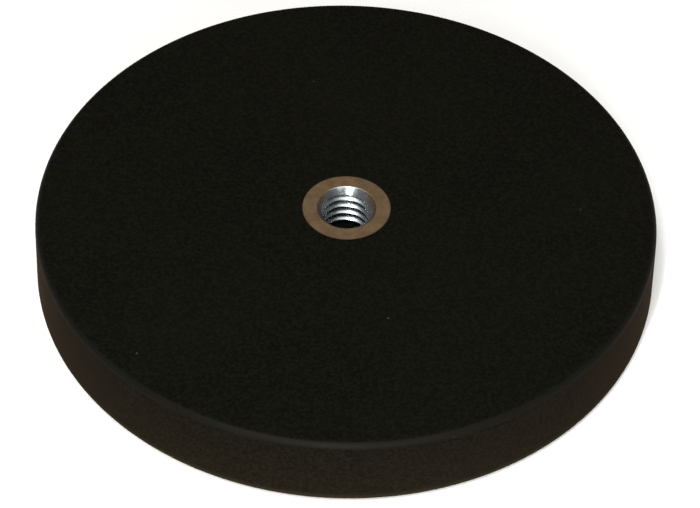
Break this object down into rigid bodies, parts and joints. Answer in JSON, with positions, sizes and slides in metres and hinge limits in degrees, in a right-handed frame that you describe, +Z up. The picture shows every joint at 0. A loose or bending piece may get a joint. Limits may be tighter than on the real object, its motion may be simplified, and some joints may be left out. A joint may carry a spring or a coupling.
{
  "type": "magnet fishing magnet",
  "caption": "Flat round holding magnet in a black rubber jacket, with a flush threaded bush in its middle for a rope eye or hook.",
  "frame": {"origin": "centre of the flat holding face, which is the lowest face", "axes": "+Z up along the axis of the threaded hole, out of the top face; +X through the middle of outer_magnet_01 and inner_magnet_1"},
  "size_m": [0.066, 0.066, 0.0085],
  "materials": {
    "black_rubber": "matte, very fine moulded grain",
    "plate_steel": "bare rolled steel",
    "zinc_plated_steel": "tan satin face, bright zinc in the thread",
    "nickel_plating": "satin nickel plate"
  },
  "bodies": {
    "root": {"rubber_cover": "black_rubber", "steel_plate": "plate_steel", "threaded_bush": "zinc_plated_steel", "outer_magnet_01": "nickel_plating", "outer_magnet_02": "nickel_plating", "outer_magnet_03": "nickel_plating", "outer_magnet_04": "nickel_plating", "outer_magnet_05": "nickel_plating", "outer_magnet_06": "nickel_plating", "outer_magnet_07": "nickel_plating", "outer_magnet_08": "nickel_plating", "outer_magnet_09": "nickel_plating", "outer_magnet_10": "nickel_plating", "outer_magnet_11": "nickel_plating", "outer_magnet_12": "nickel_plating", "inner_magnet_1": "nickel_plating", "inner_magnet_2": "nickel_plating", "inner_magnet_3": "nickel_plating", "inner_magnet_4": "nickel_plating", "inner_magnet_5": "nickel_plating", "inner_magnet_6": "nickel_plating"}
  },
  "joints": []
}
